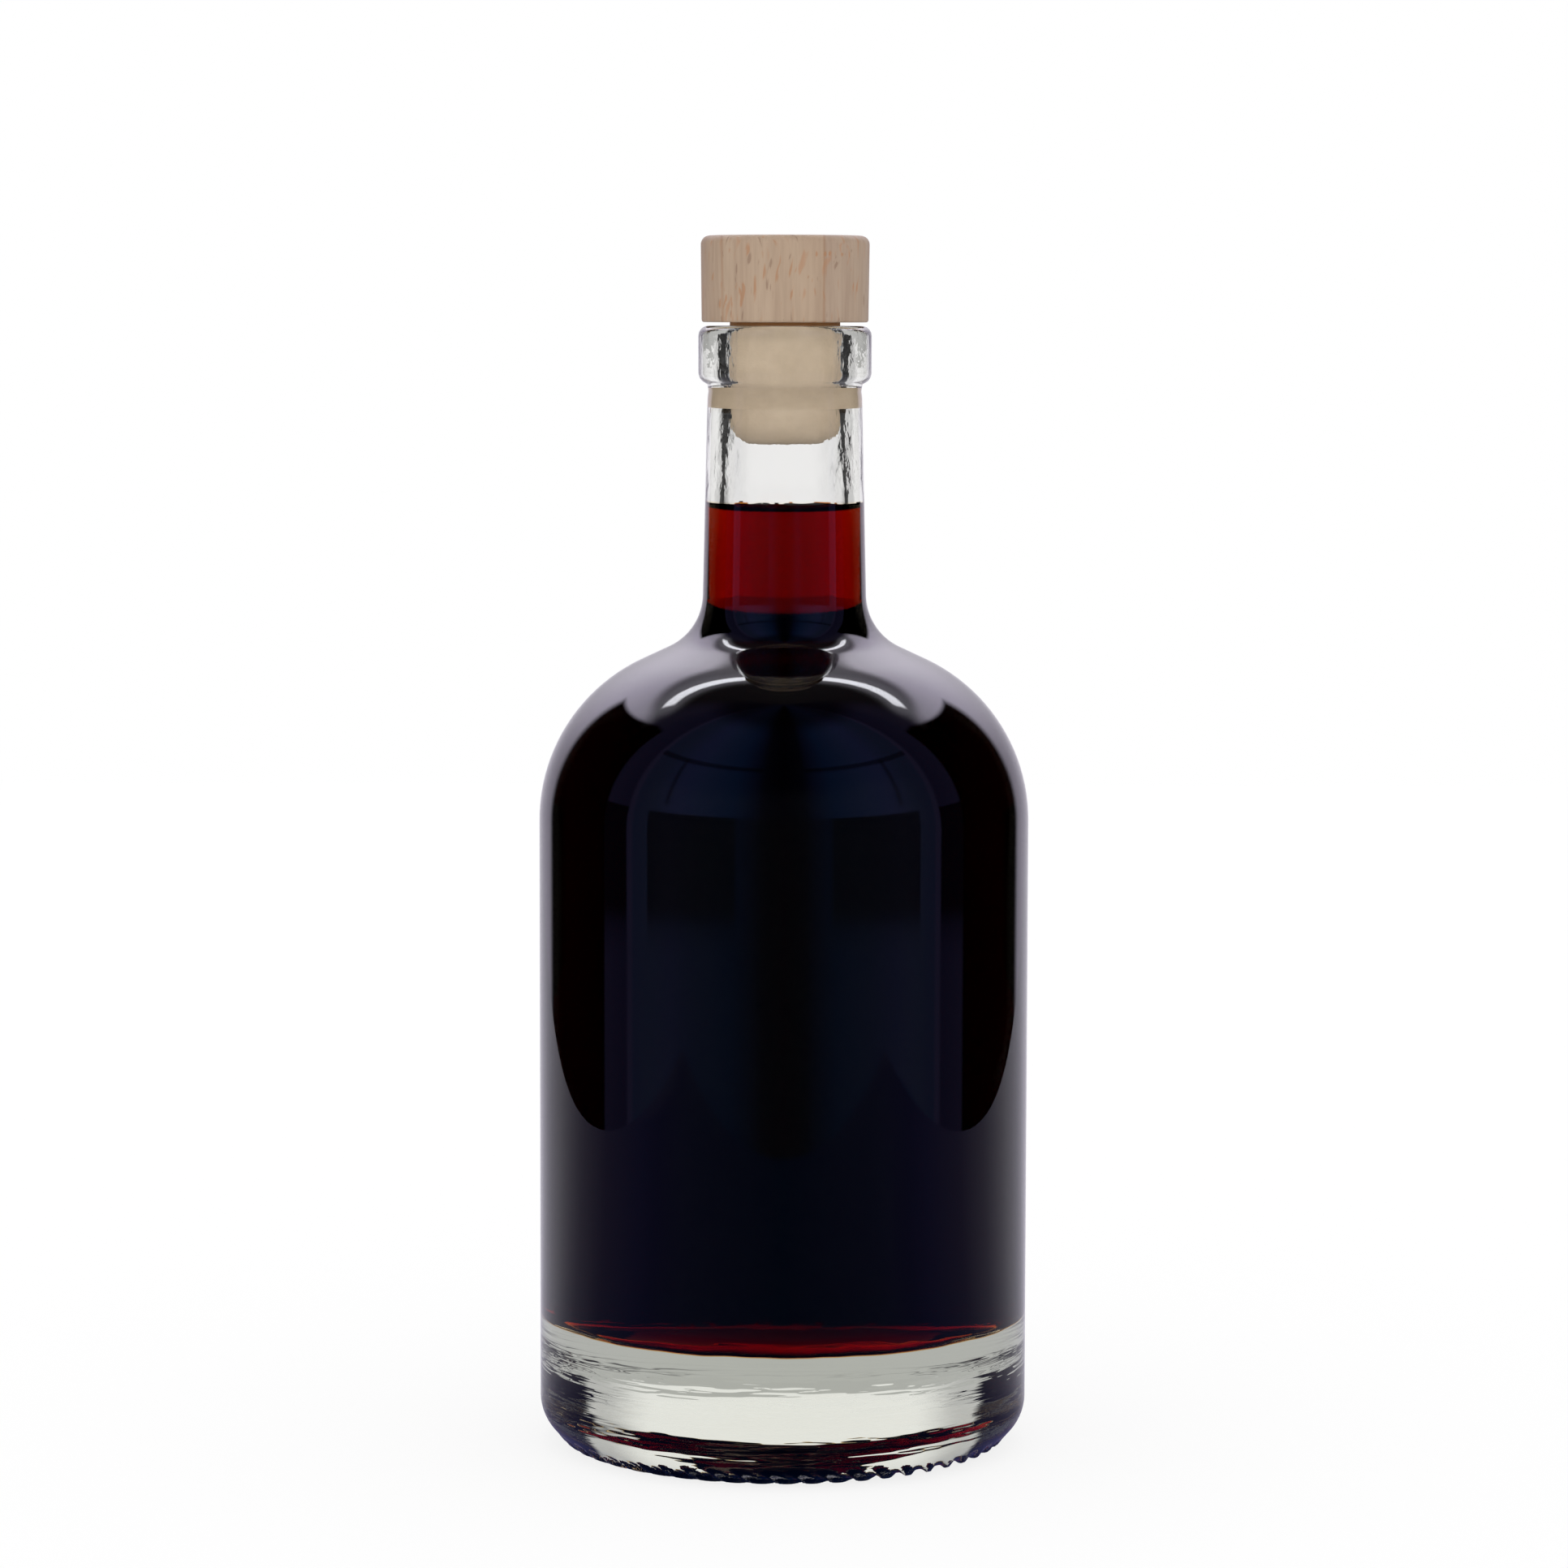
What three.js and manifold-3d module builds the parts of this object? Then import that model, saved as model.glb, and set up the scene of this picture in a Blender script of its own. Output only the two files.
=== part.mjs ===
// A 500 ml spirits bottle of clear glass with a heavy base, its fill and its bar-top stopper.
// Millimetres, +Z up. The origin is on the axis, in the plane that the bottle stands on.

import * as THREE from "three";
import { mergeGeometries, mergeVertices } from "three/addons/utils/BufferGeometryUtils.js";
import Module from "manifold-3d";

const wasm = await Module();
wasm.setup();

// Bottle, outside
const GLASS_HEIGHT = 190.3;
const BODY_RADIUS = 41.5;
const HEEL_RADIUS = 7.4;
const SHOULDER_RADIUS = 30;
const SHOULDER_SLOPE_DEG = 65; // tilt of the shoulder's outward normal where it meets the neck's sweep
const NECK_SWEEP_RADIUS = 10;
const NECK_ROOT_RADIUS = 13.8;
const NECK_TOP_RADIUS = 13.05;
const NECK_LENGTH = 35.3;

// Lip ring
const LIP_RADIUS = 14.6;
const LIP_HEIGHT = 9.8;
const LIP_TOP_ROUND = 1.7;
const LIP_UNDER_ROUND = 2;
const LIP_UNDER_SWEEP_DEG = 60; // how much of that round shows before it meets the neck
const MOUTH_ROUND = 0.8;
const LEDGE_DEPTH = 0.15; // groove that the neck-ring mould leaves under the lip
const LEDGE_HEIGHT = 2.4;

// Bottle, inside
const BODY_WALL = 3.2;
const NECK_WALL = 2.9;
const FLOOR_HEIGHT = 21.5;
const FLOOR_CORNER_RADIUS = 6;
const FLOOR_DOME = 1;

// Bearing ring, push-up and knurl
const RING_WIDTH = 1.6;
const PUSH_UP_HEIGHT = 6;
const PUSH_UP_CROWN_RADIUS = 18; // the flat middle of the push-up, inside its rounded edge
const FLANK_WIDTH = 2.1; // the ring's inner flank, between its flat and the push-up's edge
const FLANK_RISE = 1.5;
const KNURL_COUNT = 52;
const KNURL_HEIGHT = 0.7;
const KNURL_SLANT_DEG = 48; // between a bar and the radius that it crosses
const KNURL_REACH_OUT = 2.5; // how far a bar climbs the heel, past the ring's flat
const KNURL_REACH_IN = 1;
const KNURL_CREST_WIDTH = 0.6;
const KNURL_ROOT_WIDTH = 1.7;
const KNURL_SINK = 0.5; // how far a bar is rooted in the ring
const KNURL_PHASE = 0.8; // share of a facet that turns the bars' edges clear of the facets' corners

// Stopper
const SHANK_RADIUS = 9.3;
const SHANK_LENGTH = 20.4; // below the head
const SHANK_NOSE_RADIUS = 5.4;
const SHANK_NOSE_HEIGHT = 4.6;
const SHANK_SOCKET_DEPTH = 4; // length of the shank that is glued into the head
const HEAD_HEIGHT = 14.5;
const HEAD_TOP_RADIUS = 14.2;
const HEAD_FOOT_RADIUS = 14.05;
const HEAD_TOP_ROUND = 1.5;
const HEAD_FOOT_ROUND = 0.4;
const HEAD_GAP = 0.6; // between the head and the lip with the stopper pushed home

// Fits
const SEAL_CLEARANCE = 0.1; // shank to bore where it seals
const SEAL_DEPTH = 10; // from the lip's top to the tight band of the bore
const SEAL_LENGTH = 4;
const MOUTH_CLEARANCE = 0.45; // shank to bore over the tight band
const GLUE_CLEARANCE = 0.1;

// Fill
const AIR_GAP = 10.5; // between the shank's end and the liquid
const MENISCUS_HEIGHT = 1;
const FILL_CLEARANCE = 0.3; // liquid to glass

// Facets
const FACETS = KNURL_COUNT; // one facet for each knurl bar
const SHOULDER_STEPS = 6;
const SWEEP_STEPS = 4;
const HEEL_STEPS = 4;
const CORNER_STEPS = 3;
const ROUND_STEPS = 2;
const DOME_STEPS = 3;
const EDGE_STEPS = 4;
const BORE_STEPS = 3;

const radians = THREE.MathUtils.degToRad;

// Heights that follow from the sizes above
const lipFootZ = GLASS_HEIGHT - LIP_HEIGHT;
const neckRootZ = lipFootZ - NECK_LENGTH;
const ringZ = KNURL_HEIGHT;
const ringOuterRadius = BODY_RADIUS - HEEL_RADIUS;
const ringInnerRadius = ringOuterRadius - RING_WIDTH;
const headFootZ = GLASS_HEIGHT + HEAD_GAP;
const shankEndZ = headFootZ - SHANK_LENGTH;
const fillZ = shankEndZ - AIR_GAP;
const sealRadius = SHANK_RADIUS + SEAL_CLEARANCE;
const sealTopZ = GLASS_HEIGHT - SEAL_DEPTH;

// Points along an arc, in degrees from +r towards +z, both ends included. A second radius, along z,
// makes it an ellipse's.
function arc(centreR, centreZ, radius, fromDeg, toDeg, steps, radiusZ = radius) {
  const points = [];
  for (let i = 0; i <= steps; i += 1) {
    const angle = radians(fromDeg + ((toDeg - fromDeg) * i) / steps);
    points.push([centreR + radius * Math.cos(angle), centreZ + radiusZ * Math.sin(angle)]);
  }
  return points;
}

// The sweep from the straight wall over the shoulder into the neck, from the wall up. Its inside is
// the same curve, drawn from the same two centres with the wall taken off. A short straight flank
// joins the two arcs.
const bend = radians(SHOULDER_SLOPE_DEG);
const sweepSpan = BODY_RADIUS - NECK_ROOT_RADIUS;
const shoulderRadius = Math.min(SHOULDER_RADIUS, sweepSpan / (1 - Math.cos(bend)) - NECK_SWEEP_RADIUS);
const arcSpan = (shoulderRadius + NECK_SWEEP_RADIUS) * (1 - Math.cos(bend));
const flankLength = (sweepSpan - arcSpan) / Math.sin(bend);
const sweepRise = (shoulderRadius + NECK_SWEEP_RADIUS) * Math.sin(bend) + flankLength * Math.cos(bend);
const wallTopZ = neckRootZ - sweepRise;

function shoulderSweep(bodyInset, neckInset) {
  const bodyArc = arc(
    BODY_RADIUS - shoulderRadius, wallTopZ, shoulderRadius - bodyInset,
    0, SHOULDER_SLOPE_DEG, SHOULDER_STEPS,
  );
  const neckArc = arc(
    NECK_ROOT_RADIUS + NECK_SWEEP_RADIUS, neckRootZ, NECK_SWEEP_RADIUS + neckInset,
    180 + SHOULDER_SLOPE_DEG, 180, SWEEP_STEPS,
  );
  return [...bodyArc, ...neckArc];
}

const boreRootRadius = NECK_ROOT_RADIUS - NECK_WALL;

// The bore's radius between its tight band and the neck's root, where it widens with the neck.
function boreRadiusAt(z) {
  const share = (sealTopZ - SEAL_LENGTH - z) / (sealTopZ - SEAL_LENGTH - neckRootZ);
  return THREE.MathUtils.lerp(sealRadius, boreRootRadius, THREE.MathUtils.smoothstep(share, 0, 1));
}

// The outside of the bottle, from the middle of the push-up to the lip's top.
function outsideProfile() {
  const edgeSpan = ringInnerRadius - FLANK_WIDTH - PUSH_UP_CROWN_RADIUS;
  const edgeRise = PUSH_UP_HEIGHT - FLANK_RISE;
  const edgeFootZ = ringZ + FLANK_RISE;
  const underLipZ = lipFootZ + LIP_UNDER_ROUND;
  return [
    [0, ringZ + PUSH_UP_HEIGHT],
    ...arc(PUSH_UP_CROWN_RADIUS, edgeFootZ, edgeSpan, 90, 0, EDGE_STEPS, edgeRise),
    [ringInnerRadius, ringZ],
    ...arc(ringOuterRadius, ringZ + HEEL_RADIUS, HEEL_RADIUS, -90, 0, HEEL_STEPS),
    ...shoulderSweep(0, 0),
    [NECK_TOP_RADIUS, lipFootZ - LEDGE_HEIGHT],
    [NECK_TOP_RADIUS - LEDGE_DEPTH, lipFootZ - LEDGE_HEIGHT / 2],
    [NECK_TOP_RADIUS, lipFootZ],
    ...arc(LIP_RADIUS - LIP_UNDER_ROUND, underLipZ, LIP_UNDER_ROUND, -LIP_UNDER_SWEEP_DEG, 0, ROUND_STEPS),
    ...arc(LIP_RADIUS - LIP_TOP_ROUND, GLASS_HEIGHT - LIP_TOP_ROUND, LIP_TOP_ROUND, 0, 90, ROUND_STEPS),
  ];
}

// The bore, from the mouth down to the neck's root.
function boreProfile() {
  const mouthRadius = SHANK_RADIUS + MOUTH_CLEARANCE;
  const bandFootZ = sealTopZ - SEAL_LENGTH;
  const points = [
    ...arc(mouthRadius + MOUTH_ROUND, GLASS_HEIGHT - MOUTH_ROUND, MOUTH_ROUND, 90, 180, ROUND_STEPS),
    [mouthRadius, sealTopZ + SEAL_LENGTH / 2],
    [sealRadius, sealTopZ],
    [sealRadius, bandFootZ],
  ];
  for (let i = 1; i < BORE_STEPS; i += 1) {
    const z = THREE.MathUtils.lerp(bandFootZ, neckRootZ, i / BORE_STEPS);
    points.push([boreRadiusAt(z), z]);
  }
  return points;
}

// The inside of the body below the neck's root, drawn in from the glass by a clearance, down to the
// middle of the floor.
function cavityProfile(clearance) {
  const radius = BODY_RADIUS - BODY_WALL;
  const cornerRadius = FLOOR_CORNER_RADIUS - clearance;
  const cornerR = radius - FLOOR_CORNER_RADIUS;
  const cornerZ = FLOOR_HEIGHT + FLOOR_CORNER_RADIUS;
  const domeRadius = (cornerR ** 2 + FLOOR_DOME ** 2) / (2 * FLOOR_DOME);
  const domeSpanDeg = THREE.MathUtils.radToDeg(Math.asin(cornerR / domeRadius));
  const domeZ = FLOOR_HEIGHT + FLOOR_DOME - domeRadius;
  const sweep = shoulderSweep(BODY_WALL + clearance, NECK_WALL + clearance).reverse();
  const corner = arc(cornerR, cornerZ, cornerRadius, 0, -90, CORNER_STEPS);
  const dome = arc(0, domeZ, domeRadius + clearance, 90 - domeSpanDeg, 90, DOME_STEPS);
  return [...sweep, ...corner, ...dome.slice(1)];
}

// A solid of revolution about Z from [radius, height] points that start and end on the axis.
function revolve(points) {
  const onAxis = points.map(([r, z], i) => {
    const end = i === 0 || i === points.length - 1;
    return new THREE.Vector2(end ? 0 : r, z);
  });
  const geometry = new THREE.LatheGeometry(onAxis, FACETS);
  geometry.rotateX(Math.PI / 2);
  return weld(geometry);
}

// The geometry with shared vertices, which leaves only its positions.
function weld(geometry) {
  geometry.deleteAttribute("normal");
  geometry.deleteAttribute("uv");
  return mergeVertices(geometry, 1e-4);
}

function toSolid(geometry) {
  const vertProperties = new Float32Array(geometry.attributes.position.array);
  const triVerts = new Uint32Array(geometry.index.array);
  return new wasm.Manifold(new wasm.Mesh({ numProp: 3, vertProperties, triVerts }));
}

function toGeometry(solid) {
  const { vertProperties, triVerts } = solid.getMesh();
  const geometry = new THREE.BufferGeometry();
  geometry.setAttribute("position", new THREE.BufferAttribute(vertProperties, 3));
  geometry.setIndex(new THREE.BufferAttribute(triVerts, 1));
  return geometry;
}

// Height of the bearing ring's surface at a radius, from the push-up's flank to the heel.
function ringSurfaceZ(radius) {
  if (radius > ringOuterRadius) {
    const out = radius - ringOuterRadius;
    return ringZ + HEEL_RADIUS - Math.sqrt(HEEL_RADIUS ** 2 - out ** 2);
  }
  const inward = Math.max(0, ringInnerRadius - radius);
  return ringZ + (inward / FLANK_WIDTH) * FLANK_RISE;
}

// One knurl bar: a ridge of trapezoid section that crosses the ring at a slant, stands proud by the
// knurl's height over the ring's flat, and runs out into the glass at both ends.
function knurlBar(turn) {
  const slant = Math.tan(radians(KNURL_SLANT_DEG));
  const stations = [
    { radius: ringOuterRadius + KNURL_REACH_OUT, proud: 0.1 },
    { radius: ringOuterRadius, proud: 1 },
    { radius: ringInnerRadius, proud: 1 },
    { radius: ringInnerRadius - KNURL_REACH_IN, proud: 0.1 },
  ];
  const middle = (ringOuterRadius + ringInnerRadius) / 2;
  const across = new THREE.Vector2(slant, 1).normalize();
  const positions = [];
  for (const { radius, proud } of stations) {
    const surfaceZ = ringSurfaceZ(radius);
    const along = (middle - radius) * slant;
    const corners = [
      [-KNURL_ROOT_WIDTH / 2, surfaceZ + KNURL_SINK],
      [KNURL_ROOT_WIDTH / 2, surfaceZ + KNURL_SINK],
      [KNURL_CREST_WIDTH / 2, surfaceZ - KNURL_HEIGHT * proud],
      [-KNURL_CREST_WIDTH / 2, surfaceZ - KNURL_HEIGHT * proud],
    ];
    for (const [side, z] of corners) {
      const spot = new THREE.Vector2(radius + side * across.x, along + side * across.y);
      spot.rotateAround(new THREE.Vector2(0, 0), turn);
      positions.push(spot.x, spot.y, z);
    }
  }
  const index = [0, 2, 1, 0, 3, 2];
  for (let s = 0; s + 1 < stations.length; s += 1) {
    for (let k = 0; k < 4; k += 1) {
      const a = 4 * s + k;
      const b = 4 * s + ((k + 1) % 4);
      index.push(a, b, a + 4, b, b + 4, a + 4);
    }
  }
  const last = 4 * (stations.length - 1);
  index.push(last, last + 1, last + 2, last, last + 2, last + 3);
  const geometry = new THREE.BufferGeometry();
  geometry.setAttribute("position", new THREE.Float32BufferAttribute(positions, 3));
  geometry.setIndex(index);
  return geometry;
}

function knurl() {
  const bars = [];
  for (let i = 0; i < KNURL_COUNT; i += 1) {
    bars.push(knurlBar((2 * Math.PI * (i + KNURL_PHASE)) / KNURL_COUNT));
  }
  return mergeGeometries(bars);
}

function glassGeometry() {
  const shell = revolve([...outsideProfile(), ...boreProfile(), ...cavityProfile(0)]);
  return toGeometry(toSolid(shell).add(toSolid(knurl())));
}

// The liquid, from the middle of the floor up along the glass, less its clearance, to its surface,
// which is flat and climbs the bore's wall.
function fillGeometry() {
  const edgeRadius = boreRadiusAt(fillZ) - FILL_CLEARANCE;
  const meniscusR = edgeRadius - MENISCUS_HEIGHT;
  const meniscusZ = fillZ + MENISCUS_HEIGHT;
  return revolve([
    ...cavityProfile(FILL_CLEARANCE).reverse(),
    ...arc(meniscusR, meniscusZ, MENISCUS_HEIGHT, 0, -90, ROUND_STEPS),
    [0, fillZ],
  ]);
}

// The shank, from the middle of its end round its nose to its glued top.
function shankGeometry() {
  const noseZ = shankEndZ + SHANK_NOSE_HEIGHT;
  const noseSpan = SHANK_RADIUS - SHANK_NOSE_RADIUS;
  const topZ = headFootZ + SHANK_SOCKET_DEPTH;
  return revolve([
    [0, shankEndZ],
    ...arc(SHANK_NOSE_RADIUS, noseZ, noseSpan, -90, 0, CORNER_STEPS, SHANK_NOSE_HEIGHT),
    [SHANK_RADIUS, topZ],
    [0, topZ],
  ]);
}

// The head, from the ceiling of its glue socket round its foot to the middle of its top.
function headGeometry() {
  const socketRadius = SHANK_RADIUS + GLUE_CLEARANCE;
  const socketZ = headFootZ + SHANK_SOCKET_DEPTH;
  const topZ = headFootZ + HEAD_HEIGHT;
  const footCentre = [HEAD_FOOT_RADIUS - HEAD_FOOT_ROUND, headFootZ + HEAD_FOOT_ROUND];
  const topCentre = [HEAD_TOP_RADIUS - HEAD_TOP_ROUND, topZ - HEAD_TOP_ROUND];
  return revolve([
    [0, socketZ],
    [socketRadius, socketZ],
    [socketRadius, headFootZ],
    ...arc(...footCentre, HEAD_FOOT_ROUND, -90, 0, ROUND_STEPS),
    ...arc(...topCentre, HEAD_TOP_ROUND, 0, 90, CORNER_STEPS),
    [0, topZ],
  ]);
}

function piece(name, geometry, look) {
  const mesh = new THREE.Mesh(geometry, new THREE.MeshStandardMaterial(look));
  mesh.name = name;
  return mesh;
}

const bottle = new THREE.Group();
bottle.add(piece("glass_bottle", glassGeometry(), { color: "#c9cfc6", roughness: 0.03, metalness: 0 }));
bottle.add(piece("liqueur_fill", fillGeometry(), { color: "#33040a", roughness: 0.05, metalness: 0 }));
bottle.add(piece("stopper_shank", shankGeometry(), { color: "#b8a184", roughness: 0.6, metalness: 0 }));
bottle.add(piece("stopper_head", headGeometry(), { color: "#b9a189", roughness: 0.65, metalness: 0 }));

export default bottle;
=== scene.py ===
# %% [markdown]
# A spirits bottle of clear glass, filled with dark red liqueur and closed by a wooden stopper.
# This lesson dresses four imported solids: the blown glass, the liquid, the stopper's shank and its
# turned head. The frame comes first, because every piece must stay where its solid is.

# %% Load the frame
import math

import bmesh
import bpy
from mathutils import Matrix, Vector, noise


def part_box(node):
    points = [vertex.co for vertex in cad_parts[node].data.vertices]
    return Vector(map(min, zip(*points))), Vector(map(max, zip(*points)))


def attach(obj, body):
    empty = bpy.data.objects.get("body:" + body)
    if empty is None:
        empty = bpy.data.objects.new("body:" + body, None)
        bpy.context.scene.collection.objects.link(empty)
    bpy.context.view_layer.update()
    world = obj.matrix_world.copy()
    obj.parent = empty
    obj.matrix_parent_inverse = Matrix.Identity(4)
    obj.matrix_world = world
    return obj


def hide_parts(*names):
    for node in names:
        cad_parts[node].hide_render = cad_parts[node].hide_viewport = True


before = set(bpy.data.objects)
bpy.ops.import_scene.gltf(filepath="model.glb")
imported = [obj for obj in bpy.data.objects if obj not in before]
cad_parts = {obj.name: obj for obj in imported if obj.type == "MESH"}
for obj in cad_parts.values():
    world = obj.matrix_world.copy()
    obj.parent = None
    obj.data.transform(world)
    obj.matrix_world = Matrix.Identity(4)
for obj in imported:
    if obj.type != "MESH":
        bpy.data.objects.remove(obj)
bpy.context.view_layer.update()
MM = 0.001

# %% [markdown]
# Sizes are read from the solids where a box can give them, and stated where it can't. The bottle's
# outline is two arcs, the shoulder and the neck's sweep, with a short straight flank between them.
# Both walls of the glass share the arcs' centres, as on a mould and its parison. The liquid climbs
# the bore a little in a meniscus, and the wet line is where its thin edge ends.

# %% Driving sizes
glass_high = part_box("glass_bottle")[1]
head_low, head_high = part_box("stopper_head")
shank_low, shank_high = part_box("stopper_shank")
fill_low, fill_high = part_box("liqueur_fill")

body_radius = glass_high.x
glass_top = glass_high.z
heel_radius = 7.4 * MM
shoulder_radius = 30 * MM
shoulder_slope = math.radians(65)
sweep_radius = 10 * MM
neck_root_radius = 13.8 * MM
neck_top_radius = 13.05 * MM
lip_radius = 14.6 * MM
lip_foot = glass_top - 9.8 * MM
neck_root = lip_foot - 35.3 * MM
body_wall = 3.2 * MM
neck_wall = 2.9 * MM

ring_top = 0.7 * MM
ring_outer = body_radius - heel_radius
ring_inner = ring_outer - 1.6 * MM
knurl_count = 52
knurl_phase = 0.8
knurl_slant = math.tan(math.radians(48))

shank_radius = shank_high.x
shank_end = shank_low.z
seal_top = glass_top - 10 * MM
seal_foot = seal_top - 4 * MM
meniscus = 1.9 * MM
fill_level = fill_high.z - 1.7 * MM
wet_climb = 1.235 * MM
wet_line = fill_level + wet_climb
print("body", round(body_radius / MM, 2), "mm in radius, glass", round(glass_top / MM, 1), "mm high")

# %% [markdown]
# Every piece here was turned, blown or poured round one axis, so each is a profile spun about Z.
# A profile is a list of radius and height pairs. Two helpers make its curves: an arc, and a run of
# points along a straight stretch, which gives the later waviness something to move. A third eases a
# share, so that what is raised or bent fades in and out softly.

# %% Profile helpers
def arc(centre_r, centre_z, radius, start, end, steps, radius_z=None):
    """Points on an arc, in degrees from the radial direction towards up."""
    tall = radius if radius_z is None else radius_z
    angles = [math.radians(start + (end - start) * i / steps) for i in range(steps + 1)]
    return [(centre_r + radius * math.cos(a), centre_z + tall * math.sin(a)) for a in angles]


def run(first, last, steps):
    """Points along a straight line, without its two ends."""
    shares = [i / steps for i in range(1, steps)]
    return [tuple(a + (b - a) * t for a, b in zip(first, last)) for t in shares]


def eased(t):
    """A share from 0 to 1 with soft ends."""
    t = max(0.0, min(1.0, t))
    return t * t * (3 - 2 * t)


print("the middle of an eased share:", eased(0.5))

# %% [markdown]
# A bmesh spin turns a profile into a solid. Its points on the axis are spun too, so the doubles are
# merged afterwards, and the normals are recalculated, because a spin can turn a shape inside out.

# %% Spin helper
def spin_solid(name, points, steps):
    """A closed solid of revolution from a profile that starts and ends on the axis."""
    bm = bmesh.new()
    verts = [bm.verts.new((r, 0, z)) for r, z in points]
    edges = [bm.edges.new(pair) for pair in zip(verts, verts[1:])]
    bmesh.ops.spin(
        bm, geom=verts + edges, cent=(0, 0, 0), axis=(0, 0, 1),
        angle=2 * math.pi, steps=steps, use_merge=True, use_duplicate=False,
    )
    bmesh.ops.remove_doubles(bm, verts=bm.verts, dist=1e-7)
    bmesh.ops.recalc_face_normals(bm, faces=bm.faces)
    mesh = bpy.data.meshes.new(name)
    bm.to_mesh(mesh)
    bm.free()
    mesh.shade_smooth()
    piece = bpy.data.objects.new(name, mesh)
    bpy.context.scene.collection.objects.link(piece)
    print(name, "has", len(mesh.polygons), "faces")
    return piece


# %% [markdown]
# Two more helpers serve every piece. One moves each vertex by a formula, for what no profile can
# give. The other puts on the material and tells the frame which body carries the piece and which
# solid it stands for.

# %% Piece helpers
def reshape(piece, move):
    """Moves each vertex of a piece to where a formula says."""
    for vertex in piece.data.vertices:
        vertex.co = move(vertex.co.copy())
    piece.data.update()


def dress(piece, body, node, material):
    """Puts a material on a piece, rides it on its body and lets it stand for its solid."""
    piece.data.materials.append(material)
    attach(piece, body)
    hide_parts(node)
    print(piece.name, "rides on", body, "and stands for", node)


# %% [markdown]
# The shoulder and the neck's sweep are drawn once, with a wall taken off for the inside. The flank's
# length follows from the sizes, so the two arcs always meet it in a straight line.

# %% Shoulder and bore
sweep_span = body_radius - neck_root_radius
arcs_span = (shoulder_radius + sweep_radius) * (1 - math.cos(shoulder_slope))
flank = (sweep_span - arcs_span) / math.sin(shoulder_slope)
sweep_rise = (shoulder_radius + sweep_radius) * math.sin(shoulder_slope)
wall_top = neck_root - sweep_rise - flank * math.cos(shoulder_slope)
slope_degrees = math.degrees(shoulder_slope)
print("straight flank of the shoulder:", round(flank / MM, 2), "mm long")


def shoulder(body_inset, neck_inset):
    """The curve from the straight wall up into the neck."""
    body_arc = arc(
        body_radius - shoulder_radius, wall_top, shoulder_radius - body_inset, 0, slope_degrees, 22
    )
    neck_arc = arc(
        neck_root_radius + sweep_radius, neck_root, sweep_radius + neck_inset,
        180 + slope_degrees, 180, 14,
    )
    return body_arc + run(body_arc[-1], neck_arc[0], 3) + neck_arc


def outer_radius(z):
    """The outside's radius over the shoulder and the neck."""
    if z >= neck_root:
        return neck_top_radius
    points = shoulder(0, 0)
    for (r0, z0), (r1, z1) in zip(points, points[1:]):
        if z0 <= z <= z1:
            return r0 + (r1 - r0) * (z - z0) / max(z1 - z0, 1e-9)
    return body_radius


def bore_radius(z):
    """The bore widens from its tight band to the neck's root."""
    share = (seal_foot - z) / (seal_foot - neck_root)
    root = neck_root_radius - neck_wall
    tight = shank_radius + 0.1 * MM
    return tight + (root - tight) * eased(share)


# %% [markdown]
# The cavity is shared too. The glass uses it as it is, and the liquid uses it a little larger, so
# that the liquid's skin lies inside the glass. Light then goes from glass to liquid with no film of
# air between them, which would mirror the whole edge of the bottle silver.

# %% Cavity
floor_height = fill_low.z - 0.3 * MM
floor_corner = 4 * MM
floor_dome = 1 * MM


def cavity(grow):
    """The inside of the body, from the neck's root to the middle of the floor."""
    corner_r = body_radius - body_wall - floor_corner
    corner_z = floor_height + floor_corner
    corner = arc(corner_r, corner_z, floor_corner + grow, 0, -90, 10)
    dome = []
    for i in range(1, 13):
        share = 1 - i / 12
        dome.append((corner_r * share, floor_height - grow + floor_dome * (1 - share * share)))
    sweep = shoulder(body_wall - grow, neck_wall - grow)[::-1]
    return sweep + run(sweep[-1], corner[0], 8) + corner + dome


print("the cavity's profile has", len(cavity(0)), "points")

# %% [markdown]
# The glass starts in the middle of the push-up under the base. The push-up is what a bottle has so
# that it never rocks on a bulging middle: a flat crown, an arc and a short steep flank. Then come
# the flat bearing ring and the heel, both with closely spaced points, because the knurl is raised
# out of them afterwards.

# %% Base of the glass
push_up = 5.4 * MM
crown_radius = 22 * MM
flank_width = 2.1 * MM
flank_rise = 2.4 * MM


def base_profile():
    """From the middle of the push-up to the top of the heel."""
    crown = [(crown_radius * i / 5, ring_top + push_up) for i in range(5)]
    edge_span = ring_inner - flank_width - crown_radius
    edge_rise = push_up - flank_rise
    edge = arc(crown_radius, ring_top + flank_rise, edge_span, 90, 0, 16, edge_rise)
    flank_points = run(edge[-1], (ring_inner, ring_top), 8) + [(ring_inner, ring_top)]
    flat = run((ring_inner, ring_top), (ring_outer, ring_top), 6)
    heel_low = arc(ring_outer, ring_top + heel_radius, heel_radius, -90, -66, 14)
    heel_high = arc(ring_outer, ring_top + heel_radius, heel_radius, -66, 0, 11)[1:]
    return crown + edge + flank_points + flat + heel_low + heel_high


print("the base's profile has", len(base_profile()), "points")

# %% [markdown]
# The lip is the band that the stopper's head sits on. The neck narrows by a hair below it, its
# underside is cut off at an angle, and its top turns over into the mouth in two small rounds.

# %% Lip of the glass
lip_round = 1.7 * MM
lip_under_round = 2 * MM
mouth_round = 0.8 * MM
mouth_radius = shank_radius + 0.45 * MM


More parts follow.
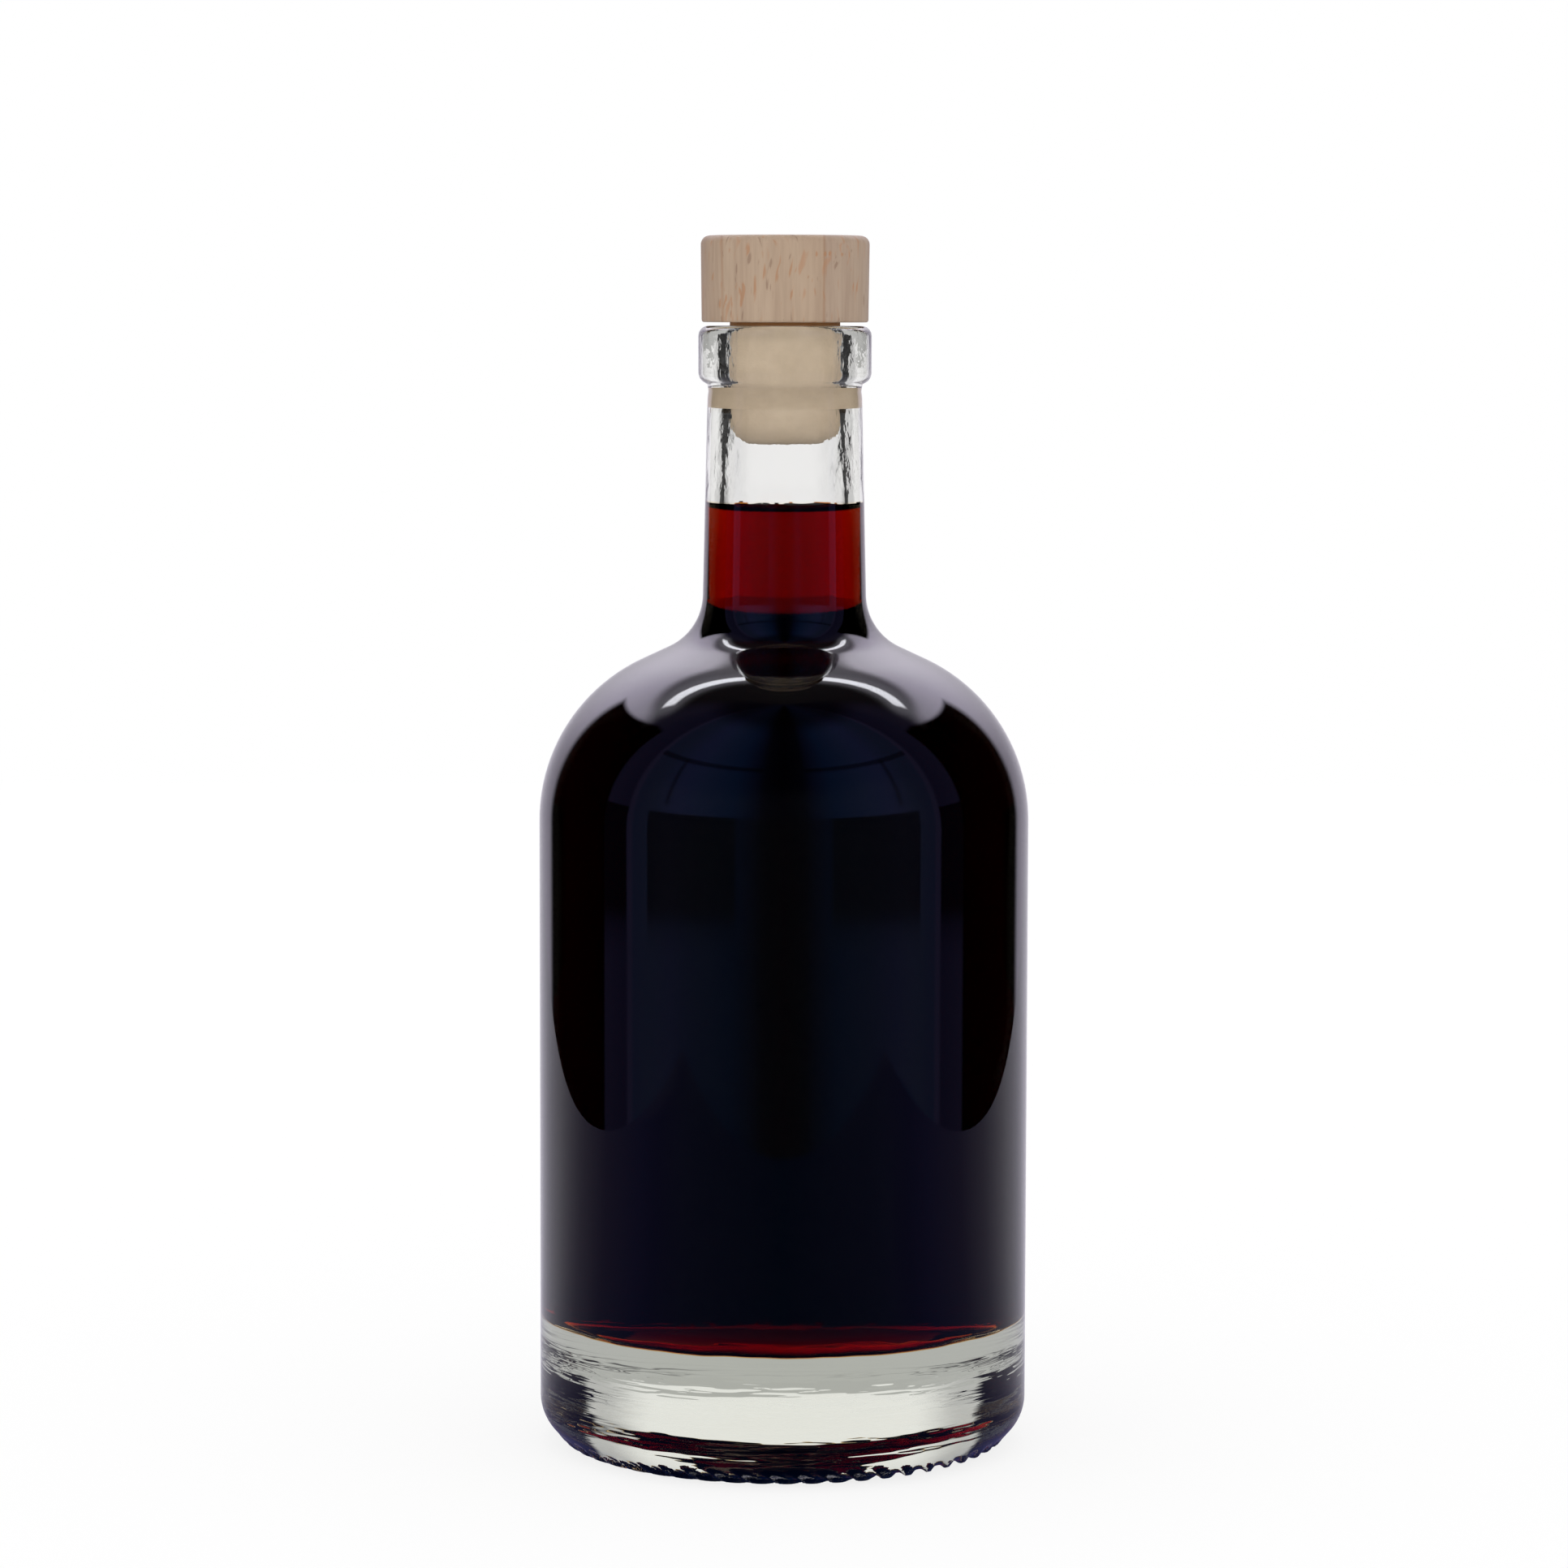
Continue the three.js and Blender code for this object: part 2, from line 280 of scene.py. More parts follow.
def lip_profile():
    """From the neck's last stretch, over the lip and into the mouth."""
    ledge = [
        (neck_top_radius, lip_foot - 2.4 * MM),
        (neck_top_radius - 0.05 * MM, lip_foot - 1.9 * MM),
        (neck_top_radius - 0.15 * MM, lip_foot - 1.2 * MM),
        (neck_top_radius - 0.05 * MM, lip_foot - 0.5 * MM),
        (neck_top_radius + 0.05 * MM, lip_foot),
    ]
    under = arc(lip_radius - lip_under_round, lip_foot + lip_under_round, lip_under_round, -52, 0, 7)
    over = arc(lip_radius - lip_round, glass_top - lip_round, lip_round, 0, 90, 7)
    mouth = arc(mouth_radius + mouth_round, glass_top - mouth_round, mouth_round, 90, 180, 5)
    return ledge + under + over + mouth


print("the lip's profile has", len(lip_profile()), "points")

# %% [markdown]
# The bore is tight where the stopper seals. There it bites 0.03 mm into the shank, so the shank
# shows through the glass with no air in front of it. Below the seal the bore has one ring of points
# exactly on the wet line, because the faces under it are wetted and get a material of their own.

# %% Bore of the glass
seal_bite = 0.03 * MM


def bore_profile():
    """From the mouth down to the neck's root."""
    tight = shank_radius - seal_bite
    bore = [
        (mouth_radius, seal_top + 2 * MM),
        (tight + 0.15 * MM, seal_top + 0.6 * MM),
        (tight, seal_top),
        (tight, (seal_top + seal_foot) / 2),
        (tight, seal_foot + 0.2 * MM),
        (tight + 0.12 * MM, seal_foot - 0.4 * MM),
    ]
    dry = [wet_line + (bore[-1][1] - wet_line) * (5 - i) / 5 for i in range(1, 6)]
    wet = [neck_root + (wet_line - neck_root) * (6 - i) / 6 for i in range(1, 6)]
    return bore + [(bore_radius(z), z) for z in dry + wet]


print("the bore is", round(2 * (shank_radius - seal_bite) / MM, 2), "mm wide where it seals")

# %% [markdown]
# One spin of the joined profile makes the whole glass, outside and inside, as one closed skin. Its
# steps are a multiple of the number of knurl bars, so every bar gets the same vertices.

# %% Spin the glass
steps_per_bar = 8


def glass_profile():
    """The whole outline, from the push-up over the outside and the lip to the cavity's floor."""
    base = base_profile()
    sweep = shoulder(0, 0)
    wall = run(base[-1], sweep[0], 7)
    lip = lip_profile()
    neck = run(sweep[-1], lip[0], 4)
    return base + wall + sweep + neck + lip + bore_profile() + cavity(0)


bottle = spin_solid("bottle_glass", glass_profile(), knurl_count * steps_per_bar)

# %% [markdown]
# The knurl is a rope of slanted ridges pressed into the bearing ring, so that hot bottles touch the
# belt on small crests only. Cutting 52 bars with booleans would leave hard seams. Here the ring's
# vertices move outwards instead, by a rounded height that depends on their distance from the
# nearest bar, and fades where the bars run out on the heel and the push-up.

# %% Knurl
knurl_height = 0.7 * MM
knurl_ceiling = ring_top + 3.5 * MM
bar_half_width = 0.85 * MM
crest_fullness = 1.6
reach_out = 5.4 * MM
reach_in = 1.1 * MM
run_out = 2.6 * MM


def knurl_move(co):
    """Raises a point of the ring or the heel by the height of the nearest bar."""
    radius = math.hypot(co.x, co.y)
    off_ring = radius < ring_inner - reach_in or radius > ring_outer + reach_out
    if co.z > knurl_ceiling or off_ring:
        return co
    middle = (ring_outer + ring_inner) / 2
    turn = math.atan2(co.y, co.x) / (2 * math.pi) * knurl_count - knurl_phase
    lead = (middle - radius) * knurl_slant / (2 * math.pi * radius) * knurl_count
    offset = (turn - lead) - round(turn - lead)
    along = offset / knurl_count * 2 * math.pi * radius
    distance = abs(along) / math.hypot(1, knurl_slant)
    ridge = eased(crest_fullness * (1 - distance / bar_half_width))
    fade = eased((ring_outer + reach_out - radius) / run_out)
    fade *= eased((radius - ring_inner + reach_in) / reach_in)
    height = knurl_height * ridge * fade
    lean = math.asin(max(0.0, min(1.0, (radius - ring_outer) / heel_radius)))
    stretch = 1 + height * math.sin(lean) / radius
    return Vector((co.x * stretch, co.y * stretch, co.z - height * math.cos(lean)))


reshape(bottle, knurl_move)
print("lowest point in mm:", round(min(v.co.z for v in bottle.data.vertices) / MM, 3))

# %% [markdown]
# Blown glass is never quite even. The mould gives a true outside, but the inside is free, so its
# wall and above all its thick floor are a little wavy. Noise on the inner surface bends what is
# seen through it, which is what makes the base look like glass and not like a drawing. Each wave
# below has a length and a height: a slow one on the wall, a quick one in the empty bore, a slow and
# a quick one on the floor, and one under the push-up.

# %% Waviness of the inside
wall_wave, wall_depth = 9 * MM, 0.12 * MM
bore_wave, bore_depth = 2.6 * MM, 0.16 * MM
floor_wave, floor_depth = 11 * MM, 0.30 * MM
quick_floor_wave, quick_floor_depth = 3.5 * MM, 0.10 * MM
push_up_wave, push_up_depth = 6 * MM, 0.10 * MM


def wavy(co):
    """Moves a point of the inside by smooth noise: the wall sideways, the floor up and down."""
    radius = math.hypot(co.x, co.y)
    in_bore = eased((co.z - fill_level + 1 * MM) / (3 * MM))
    slow = noise.noise(co / wall_wave + Vector((3, 1, 7))) * wall_depth * (1 - in_bore)
    quick = noise.noise(Vector((co.x, co.y, co.z * 0.6)) / bore_wave) * bore_depth * in_bore
    upwards = noise.noise(co / floor_wave) * floor_depth
    upwards += noise.noise(co / quick_floor_wave) * quick_floor_depth
    near_floor = eased((floor_height + 14 * MM - co.z) / (12 * MM))
    push = (slow + quick) / radius if radius > 2 * MM else 0
    return Vector((co.x * (1 + push), co.y * (1 + push), co.z + upwards * near_floor))


def inner_move(co):
    """Makes the cavity, the bore and the push-up wavy and leaves the outside true."""
    radius = math.hypot(co.x, co.y)
    inside = radius < body_radius - body_wall + 0.3 * MM
    if inside and floor_height - 1 * MM < co.z < wall_top:
        return wavy(co)
    in_neck = radius < neck_root_radius - neck_wall + 0.3 * MM or co.z < neck_root
    if wall_top <= co.z < seal_foot - 0.6 * MM and in_neck and radius < outer_radius(co.z) - 2 * MM:
        return wavy(co)
    if co.z < floor_height - 5 * MM and radius < ring_inner - 0.5 * MM:
        return co + Vector((0, 0, noise.noise(co / push_up_wave) * push_up_depth))
    return co


reshape(bottle, inner_move)
print("floor waves:", round(floor_wave / MM, 1), "and", round(quick_floor_wave / MM, 1), "mm long")

# %% [markdown]
# The liquid is poured into the same cavity. Its surface is flat, and climbs the bore by the height
# of a meniscus. It gets the same waviness as the glass, so that the two stay in touch.

# %% Liquid
skin = 0.12 * MM


def liquid_profile():
    """From the middle of the floor, up the neck and over the meniscus to the surface."""
    edge = bore_radius(fill_level) + skin
    neck = []
    for i in range(1, 8):
        z = neck_root + (fill_level - neck_root) * i / 8
        neck.append((bore_radius(z) + skin, z))
    climb = arc(edge - meniscus, fill_level + meniscus, meniscus, -8, -90, 12)
    surface = [((edge - meniscus) * (1 - i / 6), fill_level) for i in range(1, 7)]
    return cavity(skin)[::-1] + neck + climb + surface


liquid = spin_solid("liqueur", liquid_profile(), knurl_count * 4)
reshape(liquid, wavy)

# %% [markdown]
# The shank is a moulded plug of synthetic cork with a rounded nose. It is glued into a blind socket
# in the wooden head, which is turned from one piece of beech and flares by a hair towards the top.

# %% Stopper shapes
shank_nose = 5.4 * MM
nose_height = 4.6 * MM
shank_top = shank_high.z
head_foot = head_low.z
head_top = head_high.z
head_radius = head_high.x
head_foot_radius = head_radius - 0.15 * MM
head_round = 1.5 * MM
foot_round = 0.4 * MM
shank_edge = 0.3 * MM
stopper_steps = 160


def shank_profile():
    """The plug: a flat end, a rounded nose, a straight side and a small top edge."""
    nose = arc(shank_nose, shank_end + nose_height, shank_radius - shank_nose, -90, 0, 12, nose_height)
    end = [(shank_nose * i / 6, shank_end) for i in range(6)]
    side = run(nose[-1], (shank_radius, shank_top), 10)
    edge = arc(shank_radius - shank_edge, shank_top - shank_edge, shank_edge, 0, 90, 4)
    return end + nose + side[:-1] + edge + [(0, shank_top)]


def head_profile():
    """The head: the blind socket, the foot's edge, the flared side and the rounded top."""
    socket = shank_radius + 0.1 * MM
    foot = arc(head_foot_radius - foot_round, head_foot + foot_round, foot_round, -90, 0, 5)
    top = arc(head_radius - head_round, head_top - head_round, head_round, 0, 90, 9)
    crown = [((head_radius - head_round) * (1 - i / 5), head_top) for i in range(1, 6)]
    side = run(foot[-1], top[0], 8)
    return [(0, shank_top), (socket, shank_top), (socket, head_foot)] + foot + side + top + crown


shank = spin_solid("cork_shank", shank_profile(), stopper_steps)
head = spin_solid("beech_head", head_profile(), stopper_steps)
for piece in (shank, head):
    piece.data.set_sharp_from_angle(angle=math.radians(50))

# %% [markdown]
# Materials come next. Small helpers keep them short to read. One starts a material with a Principled
# shader and sets its plain sockets. One adds a node and links it. One turns the 0 to 255 values of a
# screen into the linear colour that a shader wants.

# %% Material helpers
def new_material(name, **values):
    """A material with a Principled shader and plain values on its sockets."""
    material = bpy.data.materials.new(name)
    material.use_nodes = True
    shader = material.node_tree.nodes["Principled BSDF"]
    for socket, value in values.items():
        shader.inputs[socket.replace("_", " ")].default_value = value
    return material, material.node_tree, shader


def add_node(tree, kind, inputs=(), **settings):
    """A node with its settings; inputs pairs a socket with a value or with another socket."""
    node = tree.nodes.new(kind)
    for key, value in settings.items():
        setattr(node, key, value)
    for socket, value in inputs:
        if isinstance(value, bpy.types.NodeSocket):
            tree.links.new(value, node.inputs[socket])
        else:
            node.inputs[socket].default_value = value
    return node


def colour(red, green, blue):
    """A linear colour from the 0 to 255 values that a screen shows."""
    parts = []
    for value in (red, green, blue):
        v = value / 255
        parts.append(v / 12.92 if v <= 0.04045 else ((v + 0.055) / 1.055) ** 2.4)
    return (*parts, 1)


print("middle grey is linear", round(colour(128, 128, 128)[0], 3))

# %% [markdown]
# Masks are sums and products of soft steps, and colours come from ramps and mixes. Each of these
# four helpers adds one node and gives back its output, so that they can be written inside each
# other like plain arithmetic.

# %% Mask and colour helpers
def calc(tree, operation, first, second=0.0, third=0.0):
    """One step of arithmetic on values or sockets."""
    inputs = [(0, first), (1, second), (2, third)]
    return add_node(tree, "ShaderNodeMath", inputs, operation=operation).outputs[0]


def rise(tree, value, start, end):
    """0 at start and 1 at end, soft between."""
    inputs = [("Value", value), ("From Min", start), ("From Max", end)]
    return add_node(tree, "ShaderNodeMapRange", inputs, interpolation_type="SMOOTHSTEP").outputs[0]


def ramp(tree, value, stops):
    """A colour ramp over a value, from (position, colour) stops."""
    node = add_node(tree, "ShaderNodeValToRGB", [("Fac", value)])
    elements = node.color_ramp.elements
    while len(elements) < len(stops):
        elements.new(0.5)
    for element, (position, shade) in zip(elements, stops):
        element.position = position
        element.color = shade
    return node.outputs["Color"]


def mix(tree, share, first, second, blend="MIX"):
    """A colour mix whose inputs are values or sockets."""
    node = tree.nodes.new("ShaderNodeMix")
    node.data_type = "RGBA"
    node.blend_type = blend
    for index, value in ((0, share), (6, first), (7, second)):
        if isinstance(value, bpy.types.NodeSocket):
            tree.links.new(value, node.inputs[index])
        else:
            node.inputs[index].default_value = value
    return node.outputs[2]


print("mask helpers:", calc.__name__, rise.__name__, "colour helpers:", ramp.__name__, mix.__name__)

# %% [markdown]
# Glass and liquid take their colour from what light loses on its way through them, so the thin wall
# looks clear, the thick base grey-green, the neck red and the body black, all from one value each.
# The surface itself stays uncoloured. Volume Absorption does this in Blender.

# %% Clear glass
WHITE = (1, 1, 1, 1)
glass_ior = 1.52
glass_tint = (0.917, 0.93, 0.882, 1)
glass_density = 20


def absorb(tree, kept_colour, density):
    """Lets a material swallow every colour but the kept one, the more the deeper it is."""
    inputs = [("Color", kept_colour), ("Density", density)]
    volume = add_node(tree, "ShaderNodeVolumeAbsorption", inputs)
    tree.links.new(volume.outputs["Volume"], tree.nodes["Material Output"].inputs["Volume"])


glass, glass_tree, glass_shader = new_material(
    "clear_glass", Base_Color=WHITE, Roughness=0.0, IOR=glass_ior, Transmission_Weight=1.0
)
absorb(glass_tree, glass_tint, glass_density)
print("clear glass: IOR", glass_ior, "density", glass_density)

# %% [markdown]
# Two places on the glass are too finely rippled for its mesh: the outside of the thick base, where
# the melt was chilled first, and the wall of the empty bore. A Bump node over stretched noise does
# for both. Masks made from the height and the distance from the axis keep the ripples in place.

# %% Ripples in the glass
glass_place = add_node(glass_tree, "ShaderNodeTexCoord").outputs["Object"]
glass_axes = add_node(glass_tree, "ShaderNodeSeparateXYZ", [("Vector", glass_place)]).outputs
glass_z = glass_axes["Z"]
flat_place = add_node(glass_tree, "ShaderNodeCombineXYZ", [
    ("X", glass_axes["X"]), ("Y", glass_axes["Y"]),
]).outputs[0]
from_axis = add_node(
    glass_tree, "ShaderNodeVectorMath", [(0, flat_place)], operation="LENGTH"
).outputs["Value"]


def ripple(scale, detail, *masks):
    """Noise on the glass with its own scale for each axis, kept where every mask is 1."""
    mapping = add_node(glass_tree, "ShaderNodeMapping", [("Vector", glass_place), ("Scale", scale)])
    level = add_node(glass_tree, "ShaderNodeTexNoise", [
        ("Vector", mapping.outputs[0]), ("Scale", 1.0), ("Detail", detail), ("Roughness", 0.5),
    ]).outputs["Fac"]
    for mask in masks:
        level = calc(glass_tree, "MULTIPLY", level, mask)
    return level


under_floor = (21 * MM, 15 * MM)
over_heel = (3 * MM, 6 * MM)
at_outside = (36 * MM, 39 * MM)
over_liquid = (fill_level + 2 * MM, fill_level + 4 * MM)
at_bore = (11.4 * MM, 11.0 * MM)
base_ripple = ripple(
    (60, 60, 650), 2.0,
    rise(glass_tree, glass_z, *under_floor),
    rise(glass_tree, from_axis, *at_outside),
    rise(glass_tree, glass_z, *over_heel),
)
bore_ripple = ripple(
    (420, 420, 260), 3.0,
    rise(glass_tree, glass_z, *over_liquid),
    rise(glass_tree, from_axis, *at_bore),
)
ripple_depth = 0.15 * MM
glass_bump = add_node(glass_tree, "ShaderNodeBump", [
    ("Height", calc(glass_tree, "ADD", base_ripple, bore_ripple)),
    ("Strength", 1.0), ("Distance", ripple_depth),
])
glass_tree.links.new(glass_bump.outputs["Normal"], glass_shader.inputs["Normal"])
print("clear glass has", len(glass_tree.nodes), "nodes")

# %% [markdown]
# The liqueur is so deeply coloured that the 20 mm of it in the neck are red and the 77 mm in the
# body are black. It keeps most of the red, some of the green and none of the blue.

# %% Liqueur
liquid_ior = 1.36
liqueur_tint = (0.896, 0.586, 0.0, 1)
liqueur_density = 1000
liqueur, liqueur_tree = new_material(
    "dark_red_liqueur", Base_Color=WHITE, Roughness=0.0, IOR=liquid_ior, Transmission_Weight=1.0
)[:2]
absorb(liqueur_tree, liqueur_tint, liqueur_density)

dress(bottle, "bottle", "glass_bottle", glass)
dress(liquid, "bottle", "liqueur_fill", liqueur)

# %% [markdown]
# Where the liquid wets the glass, light goes from glass to liquid, and the two differ so little that
# almost nothing is mirrored. Blender's IOR is always against air, so the wetted faces of the glass
# get the ratio of the two, and the liquid's skin behind them bends nothing. Only the liquid's free
# surface meets air, and keeps the liquid's own IOR.

# %% Wetted faces
wetted_ior = round(glass_ior / liquid_ior, 3)
wetted = new_material(
    "wetted_glass", Base_Color=WHITE, Roughness=0.0, IOR=wetted_ior, Transmission_Weight=1.0
)[0]
skin_material, skin_tree = new_material(
    "dark_red_liqueur_skin", Base_Color=WHITE, Roughness=0.0, IOR=1.0, Transmission_Weight=1.0
)[:2]
absorb(skin_tree, liqueur_tint, liqueur_density)
bottle.data.materials.append(wetted)
liquid.data.materials.append(skin_material)


def is_wet(middle):
    """Whether a face of the glass lies on the cavity, below the liquid's edge."""
    radius = math.hypot(middle.x, middle.y)
    if not floor_height - 1 * MM < middle.z < wet_line:
        return False
    if middle.z < wall_top:
        return radius < body_radius - body_wall + 0.4 * MM
    return radius < outer_radius(middle.z) - 1.6 * MM


for face in bottle.data.polygons:
    face.material_index = 1 if is_wet(face.center) else 0
for face in liquid.data.polygons:
    radius = math.hypot(face.center.x, face.center.y)
    free = face.center.z > fill_level - 0.1 * MM and radius < bore_radius(fill_level)
    face.material_index = 0 if free else 1
print("wetted faces:", sum(face.material_index for face in bottle.data.polygons))

# %% [markdown]
# Beech is pale and even, with soft growth bands. The grain runs up the head, so noise that is
# squeezed along Z makes streaks on its side and mottled rings on its top: a slow noise for the
# bands, and a quick one for the fine pores that darken them.

# %% Beech grain
beech, beech_tree, beech_shader = new_material("beech_wood", Roughness=0.55, IOR=1.45)
place = add_node(beech_tree, "ShaderNodeTexCoord").outputs["Object"]


def grain(scale, detail=3.0, rough=0.55, start=place):
    """Noise on the wood, with its own scale for each axis."""
    mapping = add_node(beech_tree, "ShaderNodeMapping", [("Vector", start), ("Scale", scale)])
    inputs = [("Vector", mapping.outputs[0]), ("Scale", 1.0), ("Detail", detail), ("Roughness", rough)]
    return add_node(beech_tree, "ShaderNodeTexNoise", inputs).outputs["Fac"]


bands = ramp(beech_tree, grain((260, 260, 26), 2.0), [
    (0.30, colour(161, 137, 117)), (0.50, colour(168, 145, 124)), (0.70, colour(174, 152, 131)),
])
streaks = ramp(beech_tree, grain((1500, 1500, 90), 3.0), [
    (0.35, (0.90, 0.89, 0.88, 1)), (0.60, WHITE),
])
wood_colour = mix(beech_tree, 1.0, bands, streaks, "MULTIPLY")
print("beech grain uses", len(beech_tree.nodes), "nodes")

# %% [markdown]
# The head is turned from a board whose growth rings stand across X, so each ring is a stripe down
# the side and a line over the top. A colour ramp over X gives the stripes, and slow noise makes them
# wander as real rings do. Two of them are dark and thin, where late wood ends sharply. The same ramp
# also darkens the head towards its left and right sides and cools its right side: painted side shade.

# %% Growth rings and painted side shade
ring_wander = 0.0012
head_width = 0.030
wander = grain((90, 90, 40), 2.0)
across = add_node(beech_tree, "ShaderNodeSeparateXYZ", [("Vector", place)]).outputs["X"]
ring_place = calc(beech_tree, "MULTIPLY_ADD", wander, ring_wander, across)
ring_share = calc(beech_tree, "MULTIPLY_ADD", ring_place, 1 / head_width, 0.48)
# The stops at both ends are darker and the right one is cool: painted side shade, besides the rings.
ring_and_side_shade_stops = (
    (0.05, (0.90, 0.88, 0.87)), (0.145, (0.92, 0.90, 0.88)), (0.152, (0.78, 0.62, 0.50)),
    (0.162, (0.97, 0.96, 0.93)), (0.40, (1, 0.99, 0.96)), (0.706, (0.98, 0.96, 0.92)),
    (0.716, (0.74, 0.58, 0.45)), (0.728, (0.94, 0.95, 0.97)), (1.0, (0.92, 0.93, 0.95)),
)
ring_and_side_shade_tint = ramp(beech_tree, ring_share, [(share, (*tint, 1)) for share, tint in ring_and_side_shade_stops])
wood_colour = mix(beech_tree, 0.8, wood_colour, ring_and_side_shade_tint, "MULTIPLY")
print("stops of the growth rings:", len(ring_and_side_shade_stops))

# %% [markdown]
# Beech is known by its flecks, short brown dashes that are the wood's rays. Squeezed noise cut to
# its peaks gives dashes. Read through a slow swirl they bend, as where the turned side cuts the rays
# flat. Three sizes are laid over each other, because one size looks like a printed pattern.

# %% Flecks
swirl_reach = 0.0042
swirl = add_node(beech_tree, "ShaderNodeTexNoise", [
    ("Vector", place), ("Scale", 130.0), ("Detail", 0.0),
]).outputs["Color"]
swirl_step = add_node(
    beech_tree, "ShaderNodeVectorMath", [(0, swirl), ("Scale", swirl_reach)], operation="SCALE"
).outputs[0]
bent_place = add_node(beech_tree, "ShaderNodeVectorMath", [(0, place), (1, swirl_step)]).outputs[0]

for fleck_scale, low, high, shade, strength in (
    ((1150, 1150, 200), 0.640, 0.72, colour(160, 108, 66), 0.55),
    ((800, 800, 90), 0.650, 0.74, colour(164, 116, 80), 0.50),
    ((1500, 1500, 210), 0.69, 0.76, colour(128, 100, 80), 0.60),
):
    dashes = grain(fleck_scale, 1.0, 0.5, bent_place)
    mask = ramp(beech_tree, dashes, [(low, (0, 0, 0, 1)), (high, WHITE)])
    share = calc(beech_tree, "MULTIPLY", mask, strength)
    wood_colour = mix(beech_tree, share, wood_colour, shade)
    print("flecks of scale", fleck_scale)
beech_tree.links.new(wood_colour, beech_shader.inputs["Base Color"])

# %% [markdown]
# Fine sanding leaves the pores just open under the lacquer. A faint bump is enough for that.

# %% Finish of the wood
wood_bump = add_node(beech_tree, "ShaderNodeBump", [
    ("Height", grain((2400, 2400, 120), 4.0, 0.6)), ("Strength", 0.12), ("Distance", 0.0003),
])
beech_tree.links.new(wood_bump.outputs["Normal"], beech_shader.inputs["Normal"])
dress(head, "stopper", "stopper_head", beech)
print("beech has", len(beech_tree.nodes), "nodes")

# %% [markdown]
# Synthetic cork is foamed plastic, beige and almost even, with fine cells that show as a soft
# mottle and a slight grain on the surface. Above the lip's top, in the gap under the head, the shank
# is painted amber-brown, a painted shade under the head. The colour changes at the lip's top, over
# less than half a millimetre of height.

# %% Synthetic cork
cork, cork_tree, cork_shader = new_material("synthetic_cork", Roughness=0.6, IOR=1.45)
cork_place = add_node(cork_tree, "ShaderNodeTexCoord").outputs["Object"]
mottle = add_node(cork_tree, "ShaderNodeTexNoise", [
    ("Vector", cork_place), ("Scale", 260.0), ("Detail", 4.0), ("Roughness", 0.6),
]).outputs["Fac"]
cork_colour = ramp(cork_tree, mottle, [
    (0.3, colour(219, 196, 167)), (0.55, colour(227, 204, 175)), (0.75, colour(233, 211, 183)),
])
cork_z = add_node(cork_tree, "ShaderNodeSeparateXYZ", [("Vector", cork_place)]).outputs["Z"]
# Painted shade: the shank above the lip's top is coloured amber-brown, as shadow under the head.
shade_band_foot = glass_top - 0.3 * MM
shade_band_top = glass_top + 0.1 * MM
painted_shade_share = add_node(cork_tree, "ShaderNodeMapRange", [
    ("Value", cork_z), ("From Min", shade_band_foot), ("From Max", shade_band_top),
]).outputs[0]
painted_shade_amber = colour(160, 108, 58)
cork_colour = mix(cork_tree, painted_shade_share, cork_colour, painted_shade_amber)
cork_tree.links.new(cork_colour, cork_shader.inputs["Base Color"])
cells = add_node(cork_tree, "ShaderNodeTexVoronoi", [("Vector", cork_place), ("Scale", 2600.0)])
cork_bump = add_node(cork_tree, "ShaderNodeBump", [
    ("Height", cells.outputs["Distance"]), ("Strength", 0.25), ("Distance", 0.0002),
])
cork_tree.links.new(cork_bump.outputs["Normal"], cork_shader.inputs["Normal"])
dress(shank, "stopper", "stopper_shank", cork)
print("cork has", len(cork_tree.nodes), "nodes")

# %% [markdown]
# Clear glass shows nothing of itself, only what stands round it. So the studio is drawn in the
# world, by direction: how far a direction is turned from the front, and how high it points. Lamps
# and cards could be built as objects instead, but they would have to be hidden from the camera and
# would throw shadows. The helpers below give soft-edged masks over the two angles.

# %% Direction helpers
def band(tree, value, low, high, soft):
    """1 between low and high, 0 outside, with soft edges."""
    start = rise(tree, value, low - soft, low)
    return calc(tree, "MULTIPLY", start, rise(tree, value, high + soft, high))


def turned(tree, vector):
    """How far a vector is turned from the front, in degrees, the same to the left and right."""
    axes = add_node(tree, "ShaderNodeSeparateXYZ", [("Vector", vector)])
    front = calc(tree, "MULTIPLY", axes.outputs["Y"], -1.0)
    side = calc(tree, "ABSOLUTE", axes.outputs["X"])
    return calc(tree, "MULTIPLY", calc(tree, "ARCTAN2", side, front), 180 / math.pi), axes


def by_angle(tree, angle, stops):
    """A colour for each angle from 0 to 180 degrees."""
    share = calc(tree, "DIVIDE", angle, 180.0)
    return ramp(tree, share, [(degrees / 180, (*shade, 1)) for degrees, shade in stops])


def backdrop(tree, shade, strength):
    """Light of one colour from the world."""
    inputs = [("Color", shade), ("Strength", strength)]
    return add_node(tree, "ShaderNodeBackground", inputs).outputs[0]


def choose(tree, flag, first, second):
    """The second shader where the flag is 1, else the first."""
    return add_node(tree, "ShaderNodeMixShader", [(0, flag), (1, first), (2, second)]).outputs[0]


print("studio helpers:", band.__name__, turned.__name__, by_angle.__name__, choose.__name__)

# %% [markdown]
# The world starts from the direction of each ray. Turn is 0 in front of the bottle, where the camera
# stands, and 180 behind it. Height is 0 on the horizon and 90 overhead. Both are in degrees, and so
# are all the numbers in the next cells.

# %% Studio directions
world = bpy.data.worlds.new("studio")
bpy.context.scene.world = world
world.use_nodes = True
sky = world.node_tree
sky.nodes.clear()
direction = add_node(sky, "ShaderNodeTexCoord").outputs["Generated"]
turn, axes = turned(sky, direction)
height = calc(sky, "MULTIPLY", calc(sky, "ARCSINE", axes.outputs["Z"]), 180 / math.pi)
print("world", world.name, "starts with", len(sky.nodes), "nodes")

# %% [markdown]
# The room in front is dim and blue: almost black behind the camera, and brighter towards the two
# windows at its sides. The panel behind the bottle is a pale lavender. The glass mirrors both, which
# is what gives the black bottle its navy front and its pale edges.

